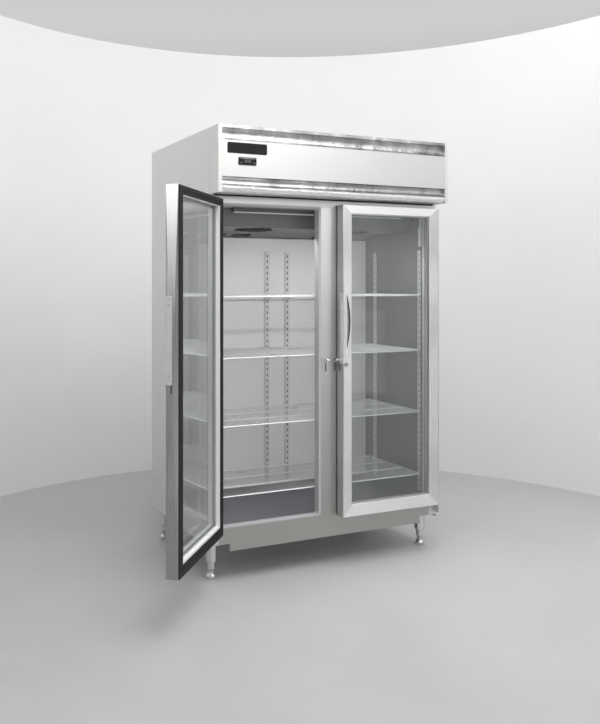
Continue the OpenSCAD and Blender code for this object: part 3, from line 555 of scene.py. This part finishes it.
# Cross-section of the gasket: share of its width inwards, and share of its height off the frame
GASKET = [(0, 0), (0, 0.55), (0.03, 0.88), (0.1, 1), (0.42, 1), (0.48, 0.88), (0.5, 0.45), (0.53, 0.45),
          (0.55, 0.8), (0.59, 0.92), (0.66, 0.92), (0.7, 0.8), (0.72, 0.4), (0.75, 0.4), (0.77, 0.72),
          (0.82, 0.86), (0.94, 0.86), (0.99, 0.72), (1, 0)]
GASKET_INSET = 1.5 * MM
GASKET_WIDTHS = (42.5 * MM, 40.5 * MM, 46.5 * MM, 36.9 * MM)


def gasket(door):
    """Black sealing strip swept round the back of the door, with its folds."""
    profile = [(share, door.back + depth * door.seal) for share, depth in GASKET]
    verts, faces = ring_sweep(door.corners(GASKET_INSET, GASKET_WIDTHS), profile)
    obj = door.piece("gasket", verts, faces, "gasket_black", RUBBER,
                     replaces=["door_" + door.side + "_gasket"])
    soften(obj, 0.25 * MM, angle=50, segments=1)


def glazing_bead(door):
    """Grey wedge that holds the inner pane, at the foot of the reveal."""
    lap = 4 * MM
    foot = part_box("door_right_glass")[1].y + 0.1 * MM
    inner = [w - lap for w in (door.stile_free, door.stile_hinge, door.rail_low, door.rail_top)]
    width = 2.6 * MM
    corners = ring_corners(inner[0], door.width - inner[1], door.low + inner[2], door.high - inner[3],
                           lambda share: share * width, door.at)
    profile = [(0.05, foot), (0.05, foot + 8 * MM), (0.35, foot + 8.4 * MM), (1, foot + 1.2 * MM), (1, foot)]
    verts, faces = ring_sweep(corners, profile)
    door.piece("glazing_bead", verts, faces, "trim_plastic", BEAD)


def panes(door):
    """Two panes of glass with a metal spacer between their edges."""
    name = "door_" + door.side + "_glass"
    low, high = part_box("door_right_glass")
    thick = 4 * MM
    verts, faces = [], []
    for y in (low.y, high.y - thick):
        shut, shape = block((low.x - door.edge_x, y, low.z), (high.x - door.edge_x, y + thick, high.z))
        add_part(verts, faces, [door.at(*p) for p in shut], shape)
    obj = door.piece("panes", verts, faces, "clear_glass", GLASS, replaces=[name])
    soften(obj, 0.4 * MM, segments=1)
    gap = 0.05 * MM
    y0, y1 = low.y + thick + gap, high.y - thick - gap
    edge = PANE_LAP - 1 * MM
    reach = 10 * MM
    corners = ring_corners(door.stile_free, door.width - door.stile_hinge, door.low + door.rail_low,
                           door.high - door.rail_top, lambda share: share * reach - edge, door.at)
    bead = 1.2 * MM
    profile = [(0, y0), (0, y1), (0.8, y1), (1, y1 - bead), (1, y0 + bead), (0.8, y0)]
    verts, faces = ring_sweep(corners, profile)
    door.piece("spacer", verts, faces, "door_sheet", STEEL["front"])


def edge_screws(door):
    """Heads of the screws that hold the edge plate of the pull, standing on the door's free edge."""
    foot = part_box("door_right_handle")[0].z
    middle = door.front + 15 * MM
    plate_face = -2.8 * MM
    heights = (20 * MM, 37 * MM, 318 * MM, 343 * MM)
    places = [(door.at(plate_face, middle, foot + up), -Vector(door.across)) for up in heights]
    screws("edge_screws_" + door.side, places, door.body, "pull_steel", LOCK, 3.4 * MM)


def pull_shadow(door):
    """Dark strip down the deep round wall of the crescent pull."""
    half_plate, half, bulge, chord = 211 * MM, 168 * MM, 33 * MM, 14 * MM
    rim, thick = 5.1 * MM, 0.5 * MM
    lead = 4 * MM  # the sloping floor begins this far before the straight side
    slope = 15 / 38
    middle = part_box("door_right_handle")[0].z + half_plate
    outer = (half * half + bulge * bulge) / (2 * bulge)
    wall = outer - rim
    steps = 40
    reach = 0.9 * math.asin(half / outer)
    verts, faces = [], []
    for i in range(steps + 1):
        turn = reach * (2 * i / steps - 1)
        u = chord + bulge - outer + wall * math.cos(turn)
        z = middle + wall * math.sin(turn)
        mouth = door.front + 0.5 * MM
        floor = door.front + 0.3 * MM + (u - chord + lead) * slope
        for inward, y in ((0, mouth), (thick, mouth), (thick, floor), (0, floor)):
            verts.append(door.at(u - inward * math.cos(turn), y, z - inward * math.sin(turn)))
    for i in range(steps):
        for k in range(4):
            a, b = 4 * i + k, 4 * i + (k + 1) % 4
            faces.append((a, b, b + 4, a + 4))
    faces += [(3, 2, 1, 0), tuple(4 * steps + k for k in range(4))]
    door.piece("pull_shadow", verts, faces, "pull_steel", SHADOW)


for door in doors.values():
    edge_screws(door)
    pull_shadow(door)
    gasket(door)
    glazing_bead(door)
    panes(door)


# ---------- hood details ----------

def controller_face():
    """Display window and bezel strip on the front of the controller."""
    low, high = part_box("controller_body")
    y = low.y
    proud = 0.4 * MM
    width, height = high.x - low.x, high.z - low.z
    verts, faces = block((low.x + 0.06 * width, y - proud, high.z - 0.2 * height),
                         (high.x - 0.06 * width, y, high.z - 0.09 * height))
    piece("controller_strip", verts, faces, "cabinet", "unit_steel", GREY_PLASTIC)
    window = painted("display_window", (0.02, 0.006, 0.006), rough=0.08, grain=100, depth=0.00001)
    verts, faces = block((low.x + 0.3 * width, y - proud, low.z + 0.3 * height),
                         (high.x - 0.3 * width, y, low.z + 0.7 * height))
    piece("controller_window", verts, faces, "cabinet", "black_gloss", window)


def hood_shadow_line():
    """Black strip of painted shadow under the hood's trim, that closes the joint between the hood and the
    header.
    """
    trim_low, trim_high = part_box("hood_trims")
    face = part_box("centre_mullion")[0].y
    verts, faces = block((trim_low.x + 2 * MM, face - 4 * MM, trim_low.z - 7 * MM),
                         (trim_high.x - 2 * MM, face - 0.1 * MM, trim_low.z - 0.2 * MM))
    obj = piece("hood_shadow_strip", verts, faces, "cabinet", "gasket_black", RUBBER)
    soften(obj, 1.2 * MM)


def badge_rim():
    """Fine raised line round the blank badge."""
    low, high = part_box("badge_plate")
    rim = 1.6 * MM
    y = low.y
    corners = ring_corners(low.x, high.x, low.z, high.z, lambda share: (2.5 + share) * rim,
                           lambda x, depth, z: Vector((x, depth, z)))
    profile = [(0, y), (0.2, y - 0.3 * MM), (0.8, y - 0.3 * MM), (1, y)]
    verts, faces = ring_sweep(corners, profile)
    piece("badge_rim", verts, faces, "cabinet", "black_gloss", BLACK_GLOSS)


def cabinet_screws():
    """Screws at the front, and nearly flat ones round the edge of the back panel."""
    kick_low, kick_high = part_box("kick_panel")
    back_low, back_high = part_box("back_panel")
    hood_low, hood_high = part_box("hood_front_panel")
    inset = 18 * MM
    columns, rows = 7, 8
    front = [((s * (kick_high.x - inset), kick_low.y, z), (0, -1, 0)) for s in (-1, 1)
             for z in (kick_high.z - inset, kick_high.z - 3 * inset)]
    front += [((s * (hood_high.x + 8 * MM), hood_low.y - 1 * MM, z), (0, -1, 0)) for s in (-1, 1)
              for z in (hood_low.z - 40 * MM, hood_high.z + 30 * MM)]
    screws("front_screws", front, "cabinet", "hinge_steel", STEEL["small"], 3.2 * MM)
    rear_y = back_high.y
    rear = []
    for i in range(columns):
        x = back_low.x + inset + (back_high.x - back_low.x - 2 * inset) * i / (columns - 1)
        rear += [((x, rear_y, z), (0, 1, 0)) for z in (back_low.z + inset, back_high.z - 2 * inset)]
    for i in range(1, rows):
        z = back_low.z + (back_high.z - back_low.z) * i / rows
        rear += [((x, rear_y, z), (0, 1, 0)) for x in (back_low.x + inset, back_high.x - inset)]
    screws("rear_screws", rear, "cabinet", "hinge_steel", LOCK, rise=0.02)


def coil_fins():
    """Fins that stand a little proud of both coils; margin keeps them clear of the coils' ends."""
    proud, side = 1.2 * MM, 5 * MM
    for name, pitch, margin in (("condenser_coil", 4 * MM, 24.5 * MM),
                                ("evaporator_coil", 7 * MM, 15.5 * MM)):
        low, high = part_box(name)
        fins(name.replace("coil", "fins"), (low.x + margin, low.y + side - proud, low.z - 0.3 * MM),
             (high.x - margin, high.y - side + proud, high.z + 0.8 * MM), pitch,
             "cabinet", "evaporator_fins", FIN_ALLOY)


def painted_slot_shade():
    """Dark strip of painted shade behind the slots of every pilaster, and behind the window of each strike.
    """
    low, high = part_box("pilasters")
    half = 5 * MM
    z = (low.z + 4 * MM, high.z - 4 * MM)
    gap = (0.8 * MM, 4.5 * MM)
    back, wall = high.y, high.x
    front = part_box("centre_mullion")[1].y
    rear_x, front_x = 64 * MM, 46 * MM
    side_rows = (100 * MM, 511 * MM)
    verts, faces = [], []
    for s in (-1, 1):
        spans = [((s * rear_x - half, s * rear_x + half), (back - gap[1], back - gap[0])),
                 ((s * front_x - half, s * front_x + half), (front + gap[0], front + gap[1]))]
        xs = sorted((s * (wall - gap[1]), s * (wall - gap[0])))
        spans += [(xs, (y - half, y + half)) for y in side_rows]
        for (x0, x1), (y0, y1) in spans:
            add_part(verts, faces, *block((x0, y0, z[0]), (x1, y1, z[1])))
    piece("pilaster_slot_shade", verts, faces, "cabinet", "pilaster_steel", SHADOW)
    low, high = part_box("strikes")
    window_x = (23.3 * MM, 30.7 * MM)
    window_z = (low.z + 12.5 * MM, low.z + 57.5 * MM)
    verts, faces = [], []
    for s in (-1, 1):
        x0, x1 = sorted(s * x for x in window_x)
        add_part(verts, faces, *block((x0, high.y - 1.2 * MM, window_z[0]),
                                      (x1, high.y - 0.1 * MM, window_z[1])))
    # Painted shade in the window of each strike
    piece("strike_pocket_shade", verts, faces, "cabinet", "hinge_steel", SHADOW)


painted_slot_shade()
controller_face()
badge_rim()
hood_shadow_line()
cabinet_screws()
coil_fins()


# ---------- room, camera and light ----------

WALL_CENTRE = (-0.11, -0.15)
WALL_RADIUS = 2.5
WALL_HEIGHT = 3.2


def backdrop(name, tones, rough, verts, faces, scale):
    """A matt surface of the studio, softly clouded between two tones."""
    mesh = bpy.data.meshes.new(name)
    mesh.from_pydata(verts, [], faces)
    obj = bpy.data.objects.new(name, mesh)
    bpy.context.scene.collection.objects.link(obj)
    s = Shade(name + "_paint")
    clouds = s.noise((scale, scale, scale), detail=8.0, roughness=0.65)
    base = s.mix(s.between(clouds, 0, 1), tones[0] + (1,), tones[1] + (1,))
    s.set(Base_Color=base, Roughness=s.between(clouds, rough, rough + 0.12))
    mesh.materials.append(s.material)
    return obj


def curved_wall():
    """An arc of wall behind the cabinet, seen from inside only so that views from behind look through it."""
    steps = 72
    first, sweep = -45, 205
    verts, faces = [], []
    for i in range(steps + 1):
        a = math.radians(first + sweep * i / steps)
        x = WALL_CENTRE[0] + WALL_RADIUS * math.cos(a)
        y = WALL_CENTRE[1] + WALL_RADIUS * math.sin(a)
        verts += [(x, y, 0.0), (x, y, WALL_HEIGHT)]
    for i in range(steps):
        faces.append((2 * i, 2 * i + 1, 2 * i + 3, 2 * i + 2))
    wall = backdrop("wall", ((0.76, 0.76, 0.765), (0.8, 0.8, 0.805)), 0.7, verts, faces, 0.8)
    wall.data.shade_smooth()
    tree = wall.data.materials[0].node_tree
    side = tree.nodes.new("ShaderNodeNewGeometry")
    clear = tree.nodes.new("ShaderNodeBsdfTransparent")
    pick = tree.nodes.new("ShaderNodeMixShader")
    tree.links.new(side.outputs["Backfacing"], pick.inputs[0])
    tree.links.new(tree.nodes["Principled BSDF"].outputs[0], pick.inputs[1])
    tree.links.new(clear.outputs[0], pick.inputs[2])
    tree.links.new(pick.outputs[0], tree.nodes["Material Output"].inputs["Surface"])


def room():
    """Floor, curved wall, and a sky that is darker towards the horizon."""
    size = 30.0
    corners = [(-size, -size, 0), (size, -size, 0), (size, size, 0), (-size, size, 0)]
    backdrop("floor", ((0.42, 0.42, 0.425), (0.48, 0.48, 0.485)), 0.38, corners, [(0, 1, 2, 3)], 0.9)
    curved_wall()
    world = bpy.data.worlds.new("studio")
    bpy.context.scene.world = world
    world.use_nodes = True
    tree = world.node_tree
    background = tree.nodes["Background"]
    coordinate = tree.nodes.new("ShaderNodeTexCoord")
    split = tree.nodes.new("ShaderNodeSeparateXYZ")
    ramp = tree.nodes.new("ShaderNodeValToRGB")
    tree.links.new(coordinate.outputs["Generated"], split.inputs[0])
    tree.links.new(split.outputs["Z"], ramp.inputs["Fac"])
    stops = ramp.color_ramp.elements
    stops[0].position, stops[0].color = 0.0, (0.14, 0.14, 0.14, 1)
    stops[1].position, stops[1].color = 0.3, (0.62, 0.62, 0.625, 1)
    stops.new(0.7).color = (0.42, 0.42, 0.425, 1)
    tree.links.new(ramp.outputs["Color"], background.inputs["Color"])
    background.inputs["Strength"].default_value = 1.0


def area_light(name, place, target, size, power):
    """A soft rectangular light, in watts, that points at its target."""
    data = bpy.data.lights.new(name, "AREA")
    data.shape = "RECTANGLE"
    data.size, data.size_y = size
    data.energy = power
    obj = bpy.data.objects.new(name, data)
    obj.location = place
    obj.rotation_euler = (Vector(target) - Vector(place)).to_track_quat("-Z", "Y").to_euler()
    bpy.context.scene.collection.objects.link(obj)
    return obj


def lights():
    """Studio panels above, in front and at both sides, and the two lamps inside."""
    middle = (0, 0.3, 1.1)
    area_light("overhead", (0.1, -1.2, 4.2), (0.1, -0.2, 0), (3.2, 3.2), 145)
    area_light("key", (1.6, -5.0, 3.6), middle, (2.6, 2.0), 42)
    area_light("right_fill", (4.6, -4.4, 1.5), (0.4, 0, 1.3), (5.2, 3.0), 30)
    area_light("left_fill", (-5.0, -2.6, 2.7), (-1.0, -0.4, 1.6), (2.4, 1.8), 22)
    housing_low, housing_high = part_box("evaporator_housing")
    below = housing_low.z - 15 * MM
    for side in (-1, 1):
        x = side * housing_high.x * 0.48
        glow = area_light("lamp", (x, 0.1, below), (x, 0.6, 0.7), (0.36, 0.03), 1.15)
        glow.visible_camera = False
        glow.visible_glossy = False


def camera():
    """At the height of a standing person's chest, off to the left of the cabinet."""
    data = bpy.data.cameras.new("camera")
    obj = bpy.data.objects.new("camera", data)
    bpy.context.scene.collection.objects.link(obj)
    obj.location = (-2.1554, -3.4194, 1.4246)
    obj.rotation_euler = (math.radians(90), 0, math.radians(-24.08))
    data.sensor_width = 36
    data.lens = 39.84
    data.shift_x = 0.1105
    data.shift_y = -0.1101
    data.clip_end = 100
    bpy.context.scene.camera = obj


room()
lights()
camera()
bpy.context.scene.view_settings.view_transform = "Standard"
